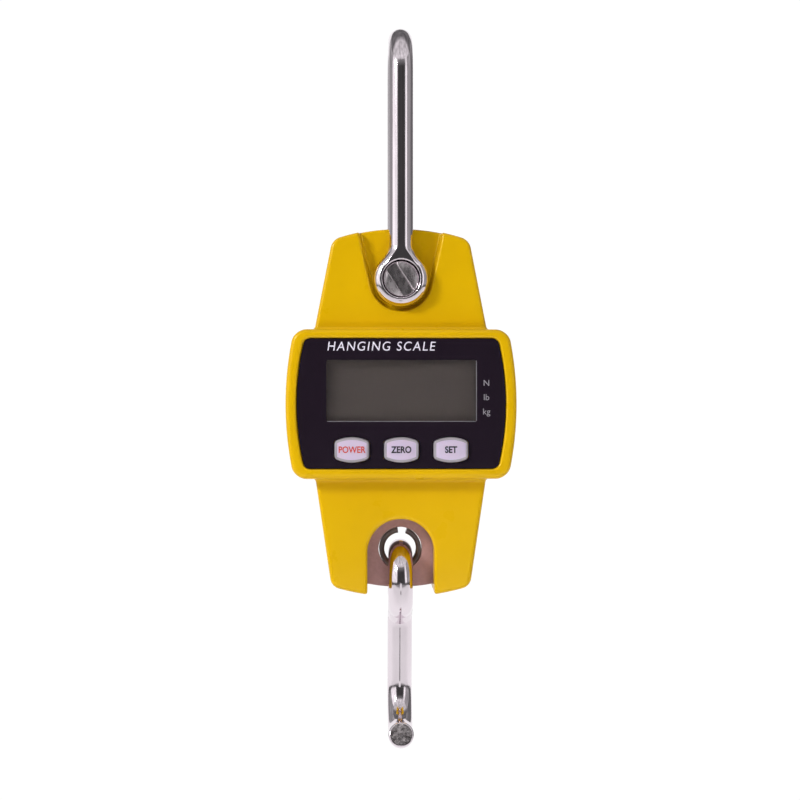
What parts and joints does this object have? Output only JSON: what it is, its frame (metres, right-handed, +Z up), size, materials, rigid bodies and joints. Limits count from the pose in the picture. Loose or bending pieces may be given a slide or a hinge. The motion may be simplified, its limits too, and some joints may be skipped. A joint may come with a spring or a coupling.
{
  "type": "crane scale",
  "caption": "Small hanging digital crane scale: steel shackle on a pin, yellow two-part housing with display and push buttons, and a swinging load hook.",
  "frame": {"origin": "inner seat of the shackle's crown, where the scale hangs from its support", "axes": "+X to the right of someone reading the display, -Y out of the display towards the reader, +Z up"},
  "size_m": [0.0842, 0.0399, 0.2677],
  "materials": {
    "polished_steel": "polished",
    "yellow_paint": "semi-gloss",
    "black_panel": "gloss",
    "button_plastic": "satin",
    "cell_alloy": "bead blasted and anodised",
    "zinc_screw": "zinc plated",
    "board_green": "solder mask",
    "rubber_black": "matte",
    "rubber_grey": "matte",
    "display_glass": "polarised display glass",
    "clear_window": "clear",
    "white_plastic": "matte",
    "battery_wrap": "printed sleeve",
    "label_foil": "satin foil",
    "gauge_film": "polyimide film"
  },
  "bodies": {
    "shackle": {"shackle_bow": "polished_steel", "shackle_pin": "polished_steel", "pin_screw": "polished_steel"},
    "housing": {"front_cover": "yellow_paint", "rear_cover": "yellow_paint", "face_panel": "black_panel", "display_window": "clear_window", "lcd_glass": "display_glass", "lcd_frame": "white_plastic", "contact_strip": "rubber_black", "main_board": "board_green", "keypad_mat": "rubber_grey", "load_cell": "cell_alloy", "gauge_cable": "rubber_black", "strain_gauge_upper": "gauge_film", "strain_gauge_lower": "gauge_film", "rating_plate": "label_foil", "battery_1": "battery_wrap", "contact_plate_1": "zinc_screw", "battery_spring_1": "zinc_screw", "battery_2": "battery_wrap", "contact_plate_2": "zinc_screw", "battery_spring_2": "zinc_screw", "battery_3": "battery_wrap", "contact_plate_3": "zinc_screw", "battery_spring_3": "zinc_screw", "cover_screw_1": "zinc_screw", "cover_screw_2": "zinc_screw", "cover_screw_3": "zinc_screw", "cover_screw_4": "zinc_screw", "cover_screw_5": "zinc_screw", "cover_screw_6": "zinc_screw", "cover_screw_7": "zinc_screw", "cover_screw_8": "zinc_screw", "cell_screw_1": "zinc_screw", "cell_screw_2": "zinc_screw", "board_screw_1": "zinc_screw", "board_screw_2": "zinc_screw", "board_screw_3": "zinc_screw", "board_screw_4": "zinc_screw"},
    "on_off_button": {"on_off_button": "button_plastic"},
    "tare_button": {"tare_button": "button_plastic"},
    "unit_button": {"unit_button": "button_plastic"},
    "battery_door": {"battery_door": "yellow_paint"},
    "hook_bush": {"hook_bush": "polished_steel"},
    "load_hook": {"load_hook": "polished_steel"}
  },
  "joints": [
    {"name": "shackle_pivot", "type": "hinge", "parent": "shackle", "child": "housing", "pos_m": [0, 0, -0.086], "axis": [0, 1, 0], "range_deg": [-26, 26]},
    {"name": "on_off_press", "type": "slide", "parent": "housing", "child": "on_off_button", "axis": [0, 1, 0], "range_m": [0, 0.0008], "stiffness_N_per_m": 900},
    {"name": "tare_press", "type": "slide", "parent": "housing", "child": "tare_button", "axis": [0, 1, 0], "range_m": [0, 0.0008], "stiffness_N_per_m": 900},
    {"name": "unit_press", "type": "slide", "parent": "housing", "child": "unit_button", "axis": [0, 1, 0], "range_m": [0, 0.0008], "stiffness_N_per_m": 900},
    {"name": "battery_door_pull", "type": "slide", "parent": "housing", "child": "battery_door", "axis": [0, 1, 0], "range_m": [0, 0.03]},
    {"name": "hook_sway", "type": "hinge", "parent": "housing", "child": "hook_bush", "pos_m": [0, 0, -0.186], "axis": [0, 1, 0], "range_deg": [-18, 18]},
    {"name": "hook_swing", "type": "hinge", "parent": "hook_bush", "child": "load_hook", "pos_m": [0, 0, -0.1976], "axis": [1, 0, 0], "range_deg": [-75, 75]}
  ]
}
